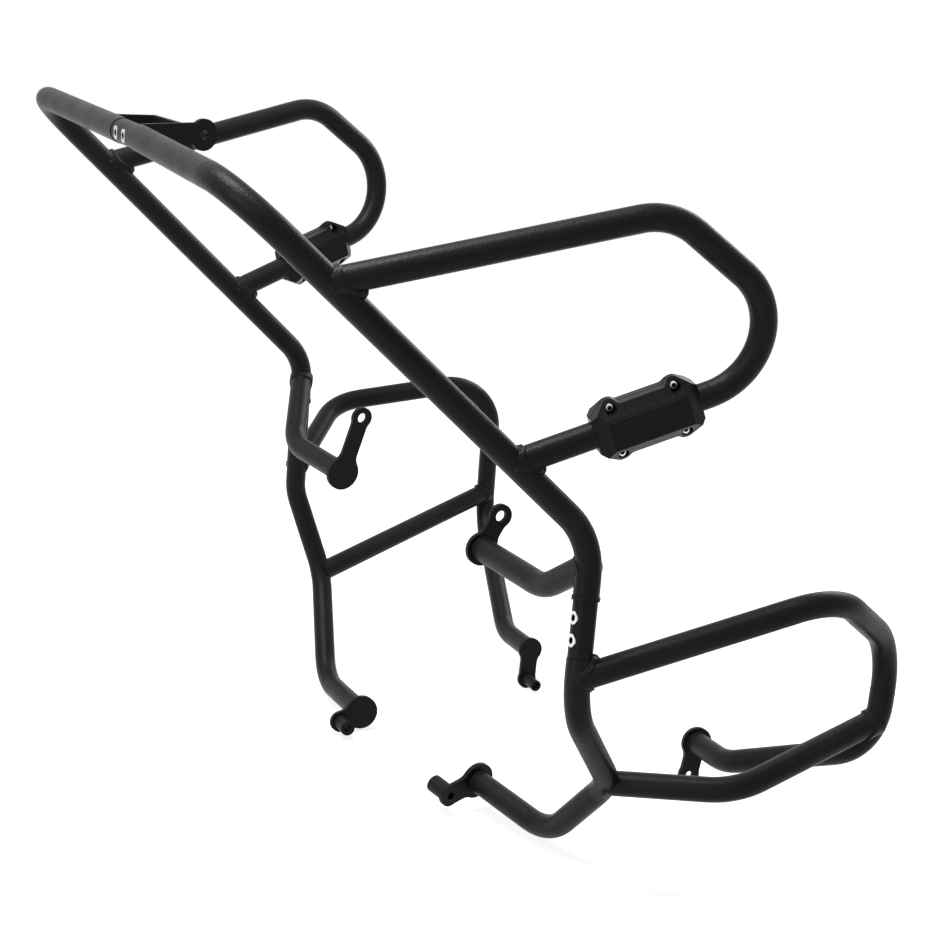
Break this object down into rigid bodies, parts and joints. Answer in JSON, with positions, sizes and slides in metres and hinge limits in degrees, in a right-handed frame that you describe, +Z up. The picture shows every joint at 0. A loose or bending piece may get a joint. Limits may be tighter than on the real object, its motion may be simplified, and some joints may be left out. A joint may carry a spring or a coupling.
{
  "type": "motorcycle crash bars",
  "caption": "Black tubular motorcycle crash bars with upper and lower side loops, bolted sleeve joints, mounting eyes and plastic sliders.",
  "frame": {"origin": "middle of the bars' own box, at the level of the lowest tab", "axes": "+X to the motorcycle's left, +Y to its rear, +Z up; X = 0 is the motorcycle's centre plane"},
  "size_m": [0.9502, 0.6967, 0.7404],
  "materials": {
    "powder_coat": "satin black powder coat with a fine texture",
    "moulded_plastic": "glossy black moulded plastic",
    "stainless": "bright machined steel"
  },
  "bodies": {
    "root": {"upper_bar_left": "powder_coat", "upper_bar_right": "powder_coat", "upper_loop_left": "powder_coat", "upper_loop_right": "powder_coat", "mount_arm_left": "powder_coat", "mount_arm_right": "powder_coat", "upper_plate_left": "powder_coat", "upper_plate_right": "powder_coat", "lower_bar_left": "powder_coat", "lower_bar_right": "powder_coat", "lower_loop_left": "powder_coat", "lower_loop_right": "powder_coat", "brace_left": "powder_coat", "brace_right": "powder_coat", "lower_plate_left": "powder_coat", "lower_plate_right": "powder_coat", "lower_spacer_left": "powder_coat", "lower_spacer_right": "powder_coat", "rear_plate_left": "powder_coat", "rear_plate_right": "powder_coat", "rear_bush": "powder_coat", "front_joint_left": "powder_coat", "front_joint_right": "powder_coat", "front_joint_bolts": "stainless", "joint_upper_left": "powder_coat", "joint_lower_left": "powder_coat", "joint_bolts_left": "stainless", "joint_upper_right": "powder_coat", "joint_lower_right": "powder_coat", "joint_bolts_right": "stainless", "bracket_leg": "powder_coat", "bracket_tab": "powder_coat", "slider_outer_left": "moulded_plastic", "slider_inner_left": "moulded_plastic", "slider_bolts_left": "stainless", "slider_outer_right": "moulded_plastic", "slider_inner_right": "moulded_plastic", "slider_bolts_right": "stainless"}
  },
  "joints": []
}
